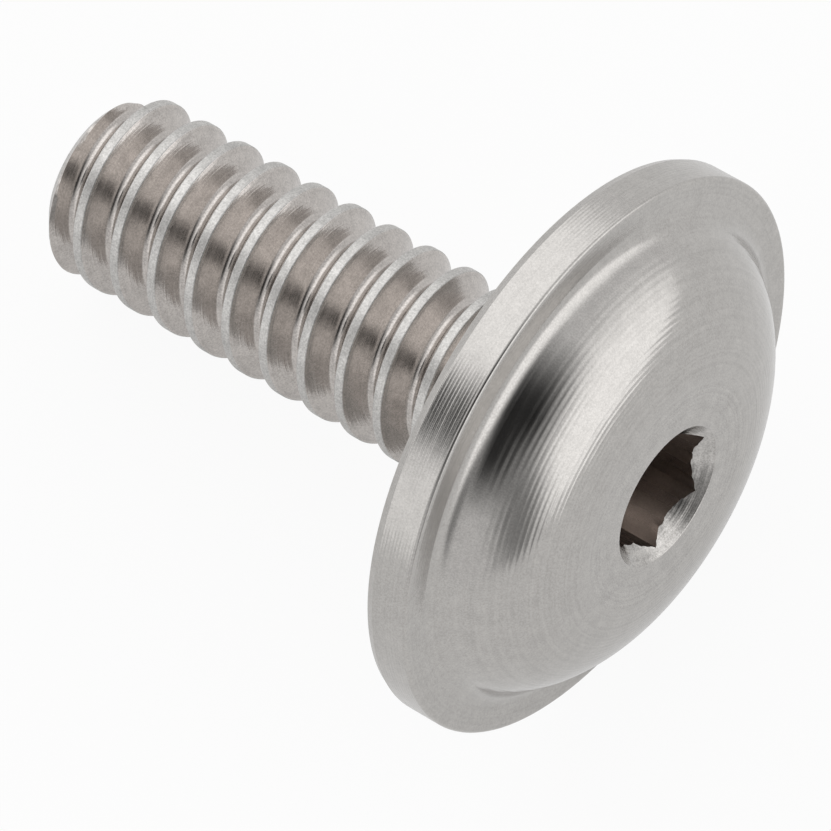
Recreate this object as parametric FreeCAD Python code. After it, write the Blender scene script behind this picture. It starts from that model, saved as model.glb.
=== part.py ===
"""Flanged button head socket screw, lying on its side as it comes to rest.

Sizes are in millimetres. The screw is built standing on its own axis, with +Z towards the head and
the seat under the flange at z = 0, and is laid down at the end, so that the flange's edge and the
last threads touch z = 0.
"""

import FreeCAD, Part

import math
import os

# Thread, 32 turns to the inch
thread_pitch = 0.79375
thread_major_dia = 3.34
crest_above_pitch_line = 0.205
root_below_pitch_line = 0.215
thread_flank_angle = 30.0
thread_end_under_seat = 1.25
crest_under_seat_at_top = 8.95
runout_turns = 0.45
runout_slope = 50.0
overrun_turns = 0.6
groove_start_turn = 100.0
opening_beyond_crest = 0.1

# Shank
length_under_head = 9.72
tip_chamfer_inset = 0.35
tip_chamfer_height = 0.30
neck_flare = 0.10

# Flange
flange_dia = 10.0
flange_thickness = 0.80
seat_edge_inset = 0.065
seat_edge_height = 0.14
rim_chamfer = 0.06

# Button
head_height = 2.19
crown_flat_dia = 4.04
dome_radius = 2.54
dome_base_fillet = 0.45

# Socket, for a key of 5/64 inch
hex_across_flats = 1.984375
hex_depth = 1.15
hex_turn_from_top = 27.8
mouth_dia = 2.54
mouth_half_angle = 45.0
drill_point_half_angle = 59.0

# Rest
steepest_lean = 45.0
lean_halvings = 40
contact_tolerance = 0.01

ORIGIN = FreeCAD.Vector(0, 0, 0)
Z_AXIS = FreeCAD.Vector(0, 0, 1)
Y_AXIS = FreeCAD.Vector(0, 1, 0)

thread_major_r = thread_major_dia / 2
thread_pitch_r = thread_major_r - crest_above_pitch_line
thread_root_r = thread_pitch_r - root_below_pitch_line
flange_r = flange_dia / 2
crown_flat_r = crown_flat_dia / 2
mouth_r = mouth_dia / 2


def at(radius, height):
    """A point of a section, in the plane through the axis."""
    return FreeCAD.Vector(radius, 0, height)


def corner_arc(centre, radius, first_angle, last_angle):
    """An arc of a section, between two angles in degrees counted from outwards to headwards."""
    points = []
    for angle in (first_angle, (first_angle + last_angle) / 2, last_angle):
        turn = math.radians(angle)
        points.append(centre + at(radius * math.cos(turn), radius * math.sin(turn)))
    return Part.Arc(*points).toShape(), points[0], points[-1]


def blank():
    """The turned blank: shank with a chamfered tip, flange, and domed button with a flat crown."""
    dome_centre = at(crown_flat_r, head_height - dome_radius)
    fillet_rise = flange_thickness + dome_base_fillet - dome_centre.z
    fillet_reach = math.sqrt((dome_radius + dome_base_fillet) ** 2 - fillet_rise**2)
    meeting_angle = math.degrees(math.atan2(fillet_rise, fillet_reach))
    fillet_centre = dome_centre + at(fillet_reach, fillet_rise)
    fillet, fillet_start, fillet_end = corner_arc(
        fillet_centre, dome_base_fillet, -90, meeting_angle - 180
    )
    dome, dome_start, dome_end = corner_arc(dome_centre, dome_radius, meeting_angle, 90)

    outline = [
        dome_end,
        at(0, head_height),
        at(0, -length_under_head),
        at(thread_major_r - tip_chamfer_inset, -length_under_head),
        at(thread_major_r, tip_chamfer_height - length_under_head),
        at(thread_major_r, -neck_flare),
        at(thread_major_r + neck_flare, 0),
        at(flange_r - seat_edge_inset, 0),
        at(flange_r, seat_edge_height),
        at(flange_r, flange_thickness - rim_chamfer),
        at(flange_r - rim_chamfer, flange_thickness),
        fillet_start,
    ]
    edges = [Part.makeLine(start, end) for start, end in zip(outline, outline[1:])]
    return Part.Face(Part.Wire(edges + [fillet, dome])).revolve(ORIGIN, Z_AXIS, 360)


def groove_section(height):
    """The thread's groove: two flanks and a flat root, open beyond the crests."""
    slope = math.tan(math.radians(thread_flank_angle))
    opening_r = thread_major_r + opening_beyond_crest
    half_root = thread_pitch / 4 - (thread_pitch_r - thread_root_r) * slope
    half_opening = thread_pitch / 4 + (opening_r - thread_pitch_r) * slope
    corners = [
        at(opening_r, height - half_opening),
        at(thread_root_r, height - half_root),
        at(thread_root_r, height + half_root),
        at(opening_r, height + half_opening),
    ]
    return Part.makePolygon(corners + corners[:1])


def sweep(path, section):
    """A solid swept along a helix, with the section held upright."""
    pipe = Part.BRepOffsetAPI.MakePipeShell(path)
    pipe.setBiNormalMode(Z_AXIS)
    pipe.add(section)
    pipe.build()
    pipe.makeSolid()
    return pipe.shape()


def thread_groove():
    """The right-hand groove at full depth, and the half turn in which it runs out under the head."""
    start_rise = thread_pitch * groove_start_turn / 360
    first_groove = crest_under_seat_at_top + thread_pitch / 2 - start_rise
    past_first = (length_under_head - first_groove) / thread_pitch
    turns_below_tip = math.ceil(past_first + overrun_turns)
    start = -first_groove - turns_below_tip * thread_pitch
    climb = -thread_end_under_seat - start
    full_path = Part.Wire(Part.makeHelix(thread_pitch, climb, thread_pitch_r).Edges)
    full_path.translate(at(0, start))
    full_groove = sweep(full_path, groove_section(start))

    end_turn = 360 * climb / thread_pitch
    end_height = start + climb
    runout_path = Part.Wire(
        Part.makeHelix(
            thread_pitch, runout_turns * thread_pitch, thread_pitch_r, runout_slope
        ).Edges
    )
    runout_path.translate(at(0, end_height))
    runout_section = groove_section(end_height)
    runout_path.rotate(ORIGIN, Z_AXIS, end_turn)
    runout_section.rotate(ORIGIN, Z_AXIS, end_turn)
    grooves = [full_groove, sweep(runout_path, runout_section)]
    for groove in grooves:
        groove.rotate(ORIGIN, Z_AXIS, groove_start_turn)
    return grooves


def socket():
    """The countersunk mouth, the broached hexagon and the point left by the drill under it."""
    corner_r = hex_across_flats / 2 / math.cos(math.radians(30))
    floor_height = head_height - hex_depth
    corners = []
    for number in range(7):
        turn = math.radians(hex_turn_from_top + 60 * number)
        corners.append(
            FreeCAD.Vector(corner_r * math.cos(turn), corner_r * math.sin(turn), floor_height)
        )
    hexagon = Part.Face(Part.makePolygon(corners)).extrude(Z_AXIS * hex_depth)

    mouth_depth = (mouth_r - hex_across_flats / 2) / math.tan(math.radians(mouth_half_angle))
    mouth = Part.makeCone(
        hex_across_flats / 2, mouth_r, mouth_depth, at(0, head_height - mouth_depth), Z_AXIS
    )
    point_depth = hex_across_flats / 2 / math.tan(math.radians(drill_point_half_angle))
    drill_point = Part.makeCone(
        0, hex_across_flats / 2, point_depth, at(0, floor_height - point_depth), Z_AXIS
    )
    return hexagon.fuse([mouth, drill_point])


def screw():
    """The finished screw on its own axis."""
    body = blank()
    for groove in thread_groove():
        body = body.cut(groove)
    return body.cut(socket()).Solids[0]


def resting_lean(body):
    """The axis's angle to the floor at which the flange and the last threads touch it together."""
    points = body.tessellate(contact_tolerance)[0]
    middle = -length_under_head / 2

    def lowest_gap(lean):
        heights = {True: [], False: []}
        for p in points:
            heights[p.z > middle].append(p.z * math.sin(lean) + p.x * math.cos(lean))
        return min(heights[True]) - min(heights[False])

    low, high = 0.0, math.radians(steepest_lean)
    for _ in range(lean_halvings):
        lean = (low + high) / 2
        if lowest_gap(lean) < 0:
            low = lean
        else:
            high = lean
    return math.degrees(low)


def laid_down(body, lean):
    """The screw on the floor, head towards +X, with the origin under the middle of its box."""
    body.rotate(ORIGIN, Z_AXIS, 180)
    body.rotate(ORIGIN, Y_AXIS, 90 - lean)
    box = body.optimalBoundingBox(False)
    shift = FreeCAD.Vector(-(box.XMin + box.XMax) / 2, -(box.YMin + box.YMax) / 2, -box.ZMin)
    body.translate(shift)
    print("lean", round(lean, 4), "seat centre", [round(v, 4) for v in shift])
    return body


standing = screw()
lying = laid_down(standing, resting_lean(standing))
os.makedirs("parts", exist_ok=True)
lying.exportStep("parts/screw.step")
print("valid", lying.isValid(), "volume", round(lying.Volume, 3))
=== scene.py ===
"""Looks of the flanged button head socket screw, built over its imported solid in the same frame.

The screw's surface is made on its own axis in millimetres, with +Z towards the head and the seat
under the flange at z = 0, and is then laid down where the solid lies.
"""

import math
import random

import bmesh
import bpy
from mathutils import Matrix, Vector


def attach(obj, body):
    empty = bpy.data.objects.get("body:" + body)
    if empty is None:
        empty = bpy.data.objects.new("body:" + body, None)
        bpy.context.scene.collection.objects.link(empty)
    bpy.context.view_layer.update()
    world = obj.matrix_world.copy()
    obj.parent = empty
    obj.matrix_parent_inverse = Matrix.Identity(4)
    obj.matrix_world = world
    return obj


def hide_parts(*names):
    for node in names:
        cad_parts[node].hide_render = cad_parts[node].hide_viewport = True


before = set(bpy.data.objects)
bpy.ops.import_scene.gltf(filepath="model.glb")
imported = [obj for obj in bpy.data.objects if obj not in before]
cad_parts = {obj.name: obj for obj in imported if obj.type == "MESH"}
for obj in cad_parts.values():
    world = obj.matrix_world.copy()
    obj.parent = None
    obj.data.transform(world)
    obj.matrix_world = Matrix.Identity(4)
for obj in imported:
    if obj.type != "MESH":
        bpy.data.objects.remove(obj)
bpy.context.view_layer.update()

MM = 0.001

# Thread, in millimetres and degrees
THREAD_PITCH = 25.4 / 32
THREAD_MAJOR_R = 1.67
THREAD_PITCH_R = 1.465
THREAD_ROOT_R = 1.25
FLANK_ANGLE = 30.0
FLANK_SLOPE = math.tan(math.radians(FLANK_ANGLE))
CREST_UNDER_SEAT_AT_TOP = 8.95
THREAD_END_UNDER_SEAT = 1.25
RUNOUT_HEIGHT = 0.45 * THREAD_PITCH
RUNOUT_SLOPE = math.tan(math.radians(50.0))
CREST_ROUNDING = 0.03
CREST_ROW_INSET = 0.01
CREST_STEPS = 4
FLANK_STEPS = 5
ROOT_STEPS = 5

# Shank, in millimetres
LENGTH_UNDER_HEAD = 9.72
TIP_FACE_R = 1.32
TIP_CHAMFER_HEIGHT = 0.30
TIP_RINGS = 6
NECK_FILLET = 0.10
END_SNAP = 0.012

# Head, in millimetres
FLANGE_R = 5.0
FLANGE_THICKNESS = 0.80
SEAT_EDGE_INSET = 0.065
SEAT_EDGE_HEIGHT = 0.14
SEAT_ROW_INSET = 0.01
RIM_EDGE_RADIUS = 0.06
RIM_RINGS = 10
RIM_RING_ROWS = 6
RIM_RING_DEPTH = 0.0022
HEAD_HEIGHT = 2.19
CROWN_FLAT_R = 2.02
DOME_RADIUS = 2.54
DOME_BASE_FILLET = 0.45

# Socket, in millimetres and degrees
HEX_HALF_FLATS = 25.4 * 5 / 64 / 2
HEX_DEPTH = 1.15
HEX_TURN = 27.8
MOUTH_R = 1.27
MOUTH_EDGE_RADIUS = 0.03
DRILL_POINT_R = HEX_HALF_FLATS * 0.99
DRILL_POINT_SLOPE = 1 / math.tan(math.radians(59.0))
CONE_STEPS = 12
WALL_STEPS = 8
POINT_STEPS = 5

# Torn edge of the hexagon: its reach in millimetres, and columns from one coarse tooth to the next
BURR_REACH = 0.014
BURR_FINE_SHARE = 0.3
BURR_FALLOFF = 4
BURR_SPACING = 3

# How it lies: the axis leans up from the floor towards the head
LEAN = math.radians(19.2021)
SEAT_CENTRE = Vector((3.3698, 0.0, 4.6758))

# Mesh, in columns, millimetres and degrees
COLUMNS = 168
MERGE_DISTANCE = 1e-4
LEAST_EDGE = 1e-5
SHARP_EDGE = 28.0

# Steel: base colour, and how far the finish varies
BRIGHT = (0.462, 0.447, 0.430)
MOTTLE = 0.14
ROUGHNESS_SPREAD = 0.15
DRIFT_REACH = 0.02
STAIN_SHARE = 0.4
STREAK_SHARE = 0.2
GRAIN_SHARE = 0.4

# Studio: azimuth, elevation, half width and half height in degrees, softness of the edge, strength
BASE_LIGHT = 0.85
LEAST_AHEAD = 0.02
PATCHES = (
    (14, 8, 42, 34, 0.7, 1.68),
    (160, 38, 55, 30, 0.5, 1.6),
    (-128, 12, 22, 22, 0.5, 1.3),
    (-32, 60, 32, 26, 0.6, 0.03),
    (-27, 16, 13, 28, 0.7, 0.32),
    (-153, 36, 15, 12, 0.45, 0.0),
)

# Floor: half its side in metres, its finish, and how much of it glows to the eye and in mirrors
FLOOR_HALF_SIDE = 2.0
FLOOR_GREY = (0.88, 0.88, 0.88, 1)
FLOOR_ROUGHNESS = 0.9
FLOOR_SEEN = 0.92
FLOOR_MIRRORED = 0.5

# Camera, in millimetres
CAMERA_PLACE = Vector((17.03361, -24.16800, 125.65509))
CAMERA_AIM = Vector((1.264007, -1.048300, 4.750000))
CAMERA_LENS = 333.507
SENSOR_WIDTH = 36.0
CLIP_NEAR = 1.0
CLIP_FAR = 10000.0

# Zones of the surface, each with its own finish
THREAD, SEAT, EDGE, RIM, FACE, DOME, CROWN, COUNTERSINK, SOCKET, CREST = range(10)

OWN_X = Vector((-math.sin(LEAN), 0, math.cos(LEAN)))
OWN_Y = Vector((0, -1, 0))
OWN_Z = Vector((math.cos(LEAN), 0, math.sin(LEAN)))
OWN_TURN = Matrix((OWN_X, OWN_Y, OWN_Z)).transposed()


def column_angle(column):
    """A column's angle about the axis, from the side that is up, in radians."""
    return math.radians(HEX_TURN + 360 * column / COLUMNS)


def around(radius, angle, height):
    """The place of a section's point on the column at this angle."""
    return radius * math.cos(angle), radius * math.sin(angle), height


def arc(centre, radius, first, last, steps):
    """Points of a section along an arc, in degrees counted from outwards to headwards."""
    points = []
    for i in range(steps + 1):
        turn = math.radians(first + (last - first) * i / steps)
        points.append((centre[0] + radius * math.cos(turn), centre[1] + radius * math.sin(turn)))
    return points


def line(start, end, steps):
    """Points of a section along a line, both ends left out."""
    return [
        (start[0] + (end[0] - start[0]) * i / steps, start[1] + (end[1] - start[1]) * i / steps)
        for i in range(1, steps)
    ]


def thread_rows():
    """One pitch of the thread's section from the middle of a crest: offsets headwards and radii."""
    half_crest = THREAD_PITCH / 4 - (THREAD_MAJOR_R - THREAD_PITCH_R) * FLANK_SLOPE
    half_root = THREAD_PITCH / 4 - (THREAD_PITCH_R - THREAD_ROOT_R) * FLANK_SLOPE
    root_radius = half_root / FLANK_SLOPE
    root_centre_r = THREAD_ROOT_R + root_radius
    rounding_start = half_crest - CREST_ROUNDING * FLANK_SLOPE
    half = [(0.0, THREAD_MAJOR_R), (rounding_start - CREST_ROW_INSET, THREAD_MAJOR_R)]
    for i in range(CREST_STEPS + 1):
        turn = math.radians((90 - FLANK_ANGLE) * i / CREST_STEPS)
        reach = rounding_start + CREST_ROUNDING * math.sin(turn)
        half.append((reach, THREAD_MAJOR_R - CREST_ROUNDING * (1 - math.cos(turn))))
    root = []
    for i in range(ROOT_STEPS + 1):
        turn = math.radians((90 - FLANK_ANGLE) * (1 - i / ROOT_STEPS))
        reach = THREAD_PITCH / 2 - root_radius * math.sin(turn)
        root.append((reach, root_centre_r - root_radius * math.cos(turn)))
    half += line(half[-1], root[0], FLANK_STEPS)
    half += root
    mirrored = [(THREAD_PITCH - reach, radius) for reach, radius in reversed(half[1:-1])]
    return half + mirrored


def shank_point(crest, offset, radius):
    """A thread point's radius and height, after the run-out, the tip's chamfer and the neck."""
    height = crest + offset
    past_end = crest + THREAD_PITCH / 2 + THREAD_END_UNDER_SEAT
    if past_end > RUNOUT_HEIGHT:
        radius = THREAD_MAJOR_R
    radius = min(THREAD_MAJOR_R, radius + max(0.0, past_end) * RUNOUT_SLOPE)
    over_tip = height + LENGTH_UNDER_HEAD
    if over_tip < END_SNAP:
        return TIP_FACE_R, -LENGTH_UNDER_HEAD
    if height > -NECK_FILLET - END_SNAP:
        return THREAD_MAJOR_R, -NECK_FILLET
    chamfer_slope = (THREAD_MAJOR_R - TIP_FACE_R) / TIP_CHAMFER_HEIGHT
    return min(radius, TIP_FACE_R + over_tip * chamfer_slope), height


def shank_grid(bm):
    """The threaded shank, with rows that follow the helix and close on themselves one pitch on."""
    rows = thread_rows()
    per_pitch = len(rows)
    crest_rows = CREST_STEPS + 2
    first = math.floor((CREST_UNDER_SEAT_AT_TOP - LENGTH_UNDER_HEAD) / THREAD_PITCH) - 2
    last = math.ceil(CREST_UNDER_SEAT_AT_TOP / THREAD_PITCH) + 1
    start_height = -CREST_UNDER_SEAT_AT_TOP + THREAD_PITCH * HEX_TURN / 360
    columns = []
    for column in range(COLUMNS):
        verts = []
        for number in range(first, last):
            crest = start_height + THREAD_PITCH * (number + column / COLUMNS)
            for offset, thread_radius in rows:
                radius, height = shank_point(crest, offset, thread_radius)
                verts.append(bm.verts.new(around(radius, column_angle(column), height)))
        columns.append(verts)
    for column, here in enumerate(columns):
        there = columns[(column + 1) % COLUMNS]
        shift = per_pitch if column == COLUMNS - 1 else 0
        for row in range(len(here) - 1 - shift):
            corners = here[row], there[row + shift], there[row + shift + 1], here[row + 1]
            face = bm.faces.new(corners)
            if min(row % per_pitch, per_pitch - 1 - row % per_pitch) < crest_rows:
                face.material_index = CREST


def rim_side():
    """The flange's turned rim: shallow rings of uneven depth between its two broken edges."""
    low = SEAT_EDGE_HEIGHT
    high = FLANGE_THICKNESS - RIM_EDGE_RADIUS
    uneven = random.Random(5)
    points = []
    for ring in range(RIM_RINGS):
        depth = RIM_RING_DEPTH * uneven.uniform(0.5, 1.0)
        for row in range(RIM_RING_ROWS):
            share = (ring + row / RIM_RING_ROWS) / RIM_RINGS
            dip = depth * math.sin(math.pi * row / RIM_RING_ROWS) ** 2
            points.append((FLANGE_R - dip, low + (high - low) * share))
    return points


def head_section():
    """The head's section in zones, from the neck round the flange and over the dome to the mouth."""
    neck_centre = (THREAD_MAJOR_R + NECK_FILLET, -NECK_FILLET)
    neck = arc(neck_centre, NECK_FILLET, 180, 90, steps=5)
    seat_end = (FLANGE_R - SEAT_EDGE_INSET, 0.0)
    seat = neck + line(neck[-1], seat_end, steps=20) + [(seat_end[0] - SEAT_ROW_INSET, 0.0)]

    cone = line(seat_end, (FLANGE_R, SEAT_EDGE_HEIGHT), steps=8)
    edge = [seat_end, cone[0], cone[-1]]

    dome_centre = (CROWN_FLAT_R, HEAD_HEIGHT - DOME_RADIUS)
    rise = FLANGE_THICKNESS + DOME_BASE_FILLET - dome_centre[1]
    reach = math.sqrt((DOME_RADIUS + DOME_BASE_FILLET) ** 2 - rise**2)
    meeting = math.degrees(math.atan2(rise, reach))
    fillet_centre = (dome_centre[0] + reach, dome_centre[1] + rise)
    fillet = arc(fillet_centre, DOME_BASE_FILLET, -90, meeting - 180, steps=14)
    rim_arc_centre = (FLANGE_R - RIM_EDGE_RADIUS, FLANGE_THICKNESS - RIM_EDGE_RADIUS)
    rim_arc = arc(rim_arc_centre, RIM_EDGE_RADIUS, 0, 90, steps=4)
    face = rim_arc + line(rim_arc[-1], fillet[0], steps=6) + fillet
    dome = arc(dome_centre, DOME_RADIUS, meeting, 90, steps=40)

    edge_reach = MOUTH_EDGE_RADIUS * math.tan(math.radians(22.5))
    mouth_centre = (MOUTH_R + edge_reach, HEAD_HEIGHT - MOUTH_EDGE_RADIUS)
    mouth = arc(mouth_centre, MOUTH_EDGE_RADIUS, 90, 135, steps=3)
    crown = line(dome[-1], mouth[0], steps=10) + mouth
    return (
        (SEAT, seat),
        (EDGE, edge),
        (RIM, rim_side()),
        (FACE, face),
        (DOME, dome[1:]),
        (CROWN, crown),
    )


def rings(bm, profiles, zones):
    """Faces between rings of points, each in the zone of its later ring. Gives the last ring."""
    loops = []
    for profile in profiles:
        loop = []
        for column in range(COLUMNS):
            angle = column_angle(column)
            radius, height = profile(angle)
            loop.append(bm.verts.new(around(radius, angle, height)))
        loops.append(loop)
    for inner, outer, zone in zip(loops, loops[1:], zones[1:]):
        for column in range(COLUMNS):
            after = (column + 1) % COLUMNS
            face = bm.faces.new((inner[column], inner[after], outer[after], outer[column]))
            face.material_index = zone
    return loops[-1]


def fan(bm, loop, height, zone):
    """Faces that close a ring at a point on the axis."""
    centre = bm.verts.new((0, 0, height))
    for column in range(COLUMNS):
        face = bm.faces.new((loop[column], loop[(column + 1) % COLUMNS], centre))
        face.material_index = zone


def steady(point):
    """A profile that is the same all round."""
    return lambda angle: point


def hex_radius(angle):
    """The distance from the axis to the hexagon's wall."""
    corner = math.radians(HEX_TURN)
    from_middle = (angle - corner) % math.radians(60) - math.radians(30)
    return HEX_HALF_FLATS / math.cos(from_middle)


def burrs():
    """How far the socket's torn edge strays at each column, in millimetres."""
    uneven = random.Random(11)
    coarse = [uneven.uniform(-1, 1) for _ in range(COLUMNS // BURR_SPACING)]
    strays = []
    for column in range(COLUMNS):
        spot = column / BURR_SPACING
        first = coarse[int(spot) % len(coarse)]
        second = coarse[(int(spot) + 1) % len(coarse)]
        share = spot - int(spot)
        fine = uneven.uniform(-BURR_FINE_SHARE, BURR_FINE_SHARE)
        strays.append(BURR_REACH * (first * (1 - share) + second * share + fine))
    return strays


def socket_profiles(cone_top):
    """Rings from the socket's mouth down its countersink and walls to the drill's point."""
    strays = burrs()
    floor_height = HEAD_HEIGHT - HEX_DEPTH

    def on_cone(share):
        def place(angle):
            column = round((math.degrees(angle) - HEX_TURN) * COLUMNS / 360) % COLUMNS
            stray = strays[column] * share**BURR_FALLOFF
            wall = hex_radius(angle) + stray
            radius = cone_top[0] + (wall - cone_top[0]) * share
            return radius, cone_top[1] - (cone_top[0] - radius) + stray

        return place

    def on_wall(share):
        def place(angle):
            wall = hex_radius(angle)
            top = cone_top[1] - (cone_top[0] - wall)
            return wall, top + (floor_height - top) * share

        return place

    cone = [on_cone(i / CONE_STEPS) for i in range(CONE_STEPS + 1)]
    walls = [on_wall(i / WALL_STEPS) for i in range(1, WALL_STEPS + 1)]
    walls.append(steady((DRILL_POINT_R, floor_height)))
    for i in range(1, POINT_STEPS):
        radius = DRILL_POINT_R * (1 - i / POINT_STEPS)
        height = floor_height - (DRILL_POINT_R - radius) * DRILL_POINT_SLOPE
        walls.append(steady((radius, height)))
    return cone, walls


def turned_surface(bm):
    """The screw's whole surface on its own axis, in millimetres."""
    shank_grid(bm)
    tip = [steady((TIP_FACE_R * (1 - i / TIP_RINGS), -LENGTH_UNDER_HEAD)) for i in range(TIP_RINGS)]
    fan(bm, rings(bm, tip, [THREAD] * TIP_RINGS), -LENGTH_UNDER_HEAD, THREAD)

    section = head_section()
    profiles, zones = [], []
    for zone, points in section:
        profiles += [steady(point) for point in points]
        zones += [zone] * len(points)
    rings(bm, profiles, zones)

    crown_points = section[-1][1]
    cone, walls = socket_profiles(crown_points[-1])
    last = rings(bm, cone + walls, [COUNTERSINK] * len(cone) + [SOCKET] * len(walls))
    fan(bm, last, HEAD_HEIGHT - HEX_DEPTH - DRILL_POINT_R * DRILL_POINT_SLOPE, SOCKET)


def build_screw():
    """The screw as one mesh, laid down where the solid lies."""
    bm = bmesh.new()
    turned_surface(bm)
    bmesh.ops.remove_doubles(bm, verts=bm.verts, dist=MERGE_DISTANCE)
    bmesh.ops.dissolve_degenerate(bm, edges=bm.edges, dist=LEAST_EDGE)
    bmesh.ops.recalc_face_normals(bm, faces=bm.faces)
    for face in bm.faces:
        face.smooth = True
    for edge in bm.edges:
        if len(edge.link_faces) == 2 and edge.calc_face_angle() > math.radians(SHARP_EDGE):
            edge.smooth = False
    place = Matrix.Translation(SEAT_CENTRE) @ OWN_TURN.to_4x4()
    bmesh.ops.transform(bm, matrix=Matrix.Scale(MM, 4) @ place, verts=bm.verts)
    return linked_object("turned_screw", bm)


def linked_object(name, bm):
    """An object of this name in the scene, with the mesh that was being edited."""
    mesh = bpy.data.meshes.new(name)
    bm.to_mesh(mesh)
    bm.free()
    made = bpy.data.objects.new(name, mesh)
    bpy.context.scene.collection.objects.link(made)
    return made


class Nodes:
    """Short calls for building a node tree. An input is named, or i0, i1 and so on by its number."""

    def __init__(self, tree):
        self.tree = tree

    def add(self, kind, settings=None, **inputs):
        node = self.tree.nodes.new(kind)
        for name, value in (settings or {}).items():
            setattr(node, name, value)
        for name, value in inputs.items():
            by_number = name[0] == "i" and name[1:].isdigit()
            socket = node.inputs[int(name[1:]) if by_number else name]
            if isinstance(value, bpy.types.NodeSocket):
                self.tree.links.new(value, socket)
            else:
                socket.default_value = value
        return node

    def math(self, operation, first, second=0.0):
        return self.add("ShaderNodeMath", {"operation": operation}, i0=first, i1=second).outputs[0]

    def vector(self, operation, first, second=(0, 0, 0)):
        return self.add("ShaderNodeVectorMath", {"operation": operation}, i0=first, i1=second)

    def smooth(self, value, low, high):
        """Nought below low and one above high, with a smooth step between."""
        settings = {"interpolation_type": "SMOOTHSTEP"}
        step = self.add("ShaderNodeMapRange", settings, i0=value, i1=low, i2=high, i3=0.0, i4=1.0)
        return step.outputs[0]

    def noise(self, scale, detail, vector=None, w=None, roughness=0.5):
        """Noise in space at a vector, or along a line at w."""
        if vector is None:
            node = self.add("ShaderNodeTexNoise", {"noise_dimensions": "1D"}, W=w)
        else:
            node = self.add("ShaderNodeTexNoise", Vector=vector)
        node.inputs["Scale"].default_value = scale
        node.inputs["Detail"].default_value = detail
        node.inputs["Roughness"].default_value = roughness
        return node.outputs[0]


def own_coordinates(nodes):
    """The place on the screw's own axes, in millimetres, from the place in the row frame."""
    back = OWN_TURN.transposed()
    return nodes.add(
        "ShaderNodeMapping",
        Vector=nodes.add("ShaderNodeTexCoord").outputs["Object"],
        Location=tuple(-(back @ SEAT_CENTRE)),
        Rotation=tuple(back.to_euler()),
        Scale=(1 / MM, 1 / MM, 1 / MM),
    ).outputs[0]


def tool_track(nodes, own, along_axis):
    """How far the turning tool has come: outwards, or along the axis, with a slight drift."""
    if along_axis:
        track = nodes.add("ShaderNodeSeparateXYZ", Vector=own).outputs["Z"]
    else:
        flat = nodes.vector("MULTIPLY", own, (1, 1, 0)).outputs[0]
        track = nodes.vector("LENGTH", flat).outputs["Value"]
    drift = nodes.noise(0.6, 2, vector=own)
    return nodes.math("ADD", track, nodes.math("MULTIPLY", drift, DRIFT_REACH))


def groove_height(nodes, own, track, grooves, even_grooves):
    """The height of uneven tool marks, and of even ones that come and go."""
    per_mm, depth = grooves
    wave = nodes.noise(per_mm, 2, w=track, roughness=0.6)
    height = nodes.math("MULTIPLY", wave, depth)
    if even_grooves is None:
        return height
    per_mm, depth = even_grooves
    wave = nodes.math("SINE", nodes.math("MULTIPLY", track, math.tau * per_mm))
    fade = nodes.noise(1.5, 2, vector=own)
    even = nodes.math("MULTIPLY", nodes.math("MULTIPLY", wave, fade), depth)
    return nodes.math("ADD", height, even)


def steel(name, roughness, grooves, even_grooves=None, along_axis=False, tint=BRIGHT, mottle=MOTTLE):
    """Bright turned steel. Grooves are a pair: how many to the millimetre, and depth in millimetres."""
    material = bpy.data.materials.new(name)
    material.use_nodes = True
    tree = material.node_tree
    nodes = Nodes(tree)
    shader = tree.nodes["Principled BSDF"]
    shader.inputs["Metallic"].default_value = 1.0
    own = own_coordinates(nodes)
    track = tool_track(nodes, own, along_axis)

    height = groove_height(nodes, own, track, grooves, even_grooves)
    bump = nodes.add("ShaderNodeBump", Strength=1.0, Distance=MM, Height=height)
    tree.links.new(bump.outputs[0], shader.inputs["Normal"])

    streak = nodes.noise(14.0, 3, w=track)
    smoothest = roughness * (1 - ROUGHNESS_SPREAD)
    roughest = roughness * (1 + ROUGHNESS_SPREAD)
    rough = nodes.add("ShaderNodeMapRange", i0=streak, i1=0.3, i2=0.7, i3=smoothest, i4=roughest)
    tree.links.new(rough.outputs[0], shader.inputs["Roughness"])

    stain = nodes.math("MULTIPLY", nodes.noise(4.0, 8, vector=own, roughness=0.75), STAIN_SHARE)
    cloud = nodes.math("ADD", stain, nodes.math("MULTIPLY", streak, STREAK_SHARE))
    grain = nodes.math("MULTIPLY", nodes.noise(32.0, 2, vector=own), GRAIN_SHARE)
    blotch = nodes.smooth(nodes.math("ADD", cloud, grain), 0.3, 0.7)
    dark = tuple(c * (1 - mottle) for c in tint) + (1,)
    light = tuple(c * (1 + mottle) for c in tint) + (1,)
    mix = nodes.add("ShaderNodeMix", {"data_type": "RGBA"}, i0=blotch, i6=dark, i7=light)
    tree.links.new(mix.outputs[2], shader.inputs["Base Color"])
    return material


def dress(screw):
    """One finish for each zone of the surface, in the order of the zones."""
    for finish in (
        steel("thread_steel", 0.21, (24, 0.0016), tint=(0.50, 0.470, 0.447), mottle=0.25),
        steel("seat_steel", 0.22, (20, 0.0015)),
        steel("edge_steel", 0.25, (20, 0.0010), along_axis=True),
        steel("rim_steel", 0.21, (30, 0.0010), along_axis=True),
        steel("face_steel", 0.20, (25, 0.0008)),
        steel("dome_steel", 0.15, (22, 0.0008), even_grooves=(12.5, 0.0012)),
        steel("crown_steel", 0.22, (9, 0.0030), mottle=0.2),
        steel("countersink_steel", 0.2, (12, 0.0045), mottle=0.3),
        # The socket's darker tint is painted shade inside the recess of the hexagon.
        steel("socket_steel_painted_shade", 0.3, (20, 0.0010), tint=(0.35, 0.31, 0.285)),
        # The crests' rougher finish is their own; their lighter tint is a painted highlight along the
        # crests.
        steel("crest_steel_painted_highlight", 0.42, (30, 0.0010), tint=(0.52, 0.51, 0.495), mottle=0.3),
    ):
        screw.data.materials.append(finish)


def direction(azimuth, elevation):
    """A unit vector, with azimuth counted from +X towards +Y."""
    a, e = math.radians(azimuth), math.radians(elevation)
    return Vector((math.cos(e) * math.cos(a), math.cos(e) * math.sin(a), math.sin(e)))


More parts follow.
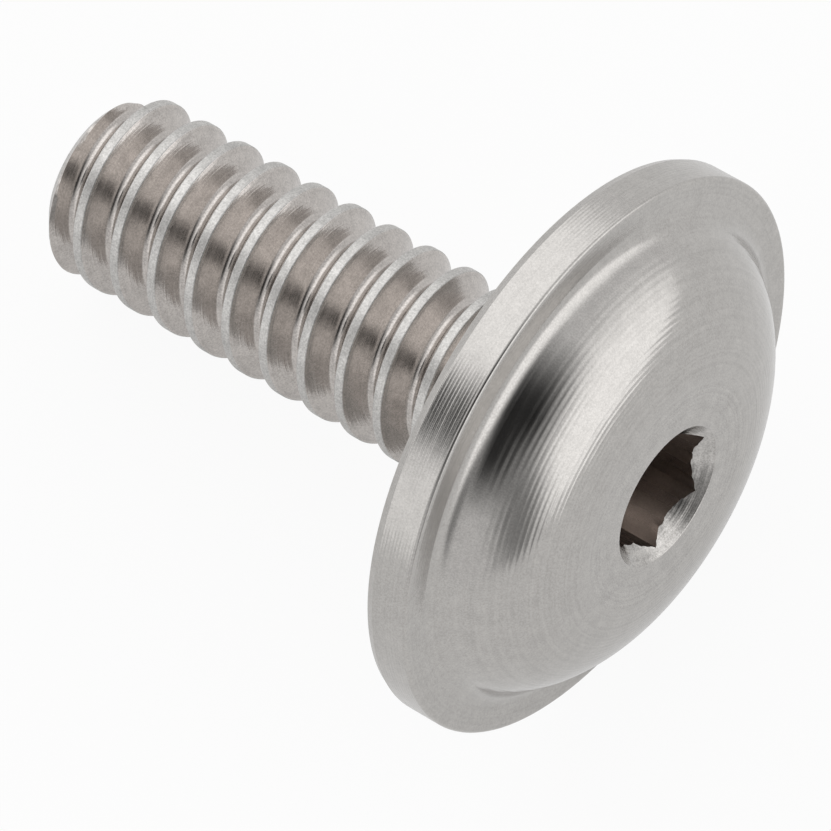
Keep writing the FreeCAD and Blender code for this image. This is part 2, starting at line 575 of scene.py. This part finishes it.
def soft_patch(nodes, ray, azimuth, elevation, half_width, half_height, softness):
    """A soft oval panel of the studio: one inside it, nought outside."""
    towards = direction(azimuth, elevation)
    side = Vector((0, 0, 1)).cross(towards).normalized()
    top = towards.cross(side)
    ahead = nodes.vector("DOT_PRODUCT", ray, tuple(towards)).outputs["Value"]
    squares = []
    for axis, reach in ((side, half_width), (top, half_height)):
        scaled = tuple(axis / math.tan(math.radians(reach)))
        across = nodes.vector("DOT_PRODUCT", ray, scaled).outputs["Value"]
        squares.append(nodes.math("POWER", across, 2))
    far = nodes.math("SQRT", nodes.math("ADD", *squares))
    spread = nodes.math("DIVIDE", far, nodes.math("MAXIMUM", ahead, LEAST_AHEAD))
    return nodes.smooth(spread, 1 + softness, 1 - softness)


def studio():
    """An even room with soft bright and dark panels, which the steel mirrors."""
    world = bpy.data.worlds.new("studio")
    world.use_nodes = True
    tree = world.node_tree
    nodes = Nodes(tree)
    ray = nodes.add("ShaderNodeTexCoord").outputs["Generated"]
    light = BASE_LIGHT
    for *shape, strength in PATCHES:
        inside = soft_patch(nodes, ray, *shape)
        mix = nodes.add("ShaderNodeMix", {"data_type": "FLOAT"}, i0=inside, i2=light, i3=strength)
        light = mix.outputs[0]
    background = tree.nodes["Background"]
    tree.links.new(light, background.inputs["Strength"])
    background.inputs["Color"].default_value = (1, 1, 1, 1)
    bpy.context.scene.world = world


def camera():
    eye = bpy.data.cameras.new("camera")
    eye.lens = CAMERA_LENS
    eye.sensor_width = SENSOR_WIDTH
    eye.clip_start = CLIP_NEAR * MM
    eye.clip_end = CLIP_FAR * MM
    holder = bpy.data.objects.new("camera", eye)
    bpy.context.scene.collection.objects.link(holder)
    holder.location = CAMERA_PLACE * MM
    holder.rotation_euler = (CAMERA_AIM - CAMERA_PLACE).to_track_quat("-Z", "Y").to_euler()
    bpy.context.scene.camera = holder


def floor():
    """A plain white floor that keeps the screw's shadow and is bright to the eye and in mirrors."""
    bm = bmesh.new()
    bmesh.ops.create_grid(bm, x_segments=2, y_segments=2, size=FLOOR_HALF_SIDE)
    ground = linked_object("floor", bm)
    material = bpy.data.materials.new("white_floor")
    material.use_nodes = True
    tree = material.node_tree
    nodes = Nodes(tree)
    shader = tree.nodes["Principled BSDF"]
    shader.inputs["Base Color"].default_value = FLOOR_GREY
    shader.inputs["Roughness"].default_value = FLOOR_ROUGHNESS
    path = nodes.add("ShaderNodeLightPath")
    seen = nodes.math("MULTIPLY", path.outputs["Is Camera Ray"], FLOOR_SEEN)
    mirrored = nodes.math("MULTIPLY", path.outputs["Is Glossy Ray"], FLOOR_MIRRORED)
    share = nodes.math("ADD", seen, mirrored)
    glow = nodes.add("ShaderNodeEmission", Strength=1.0)
    mix = nodes.add("ShaderNodeMixShader", i0=share, i1=shader.outputs[0], i2=glow.outputs[0])
    tree.links.new(mix.outputs[0], tree.nodes["Material Output"].inputs["Surface"])
    ground.data.materials.append(material)


bpy.context.scene.view_settings.view_transform = "Standard"
camera()
screw = build_screw()
dress(screw)
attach(screw, "root")
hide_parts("screw")
floor()
studio()
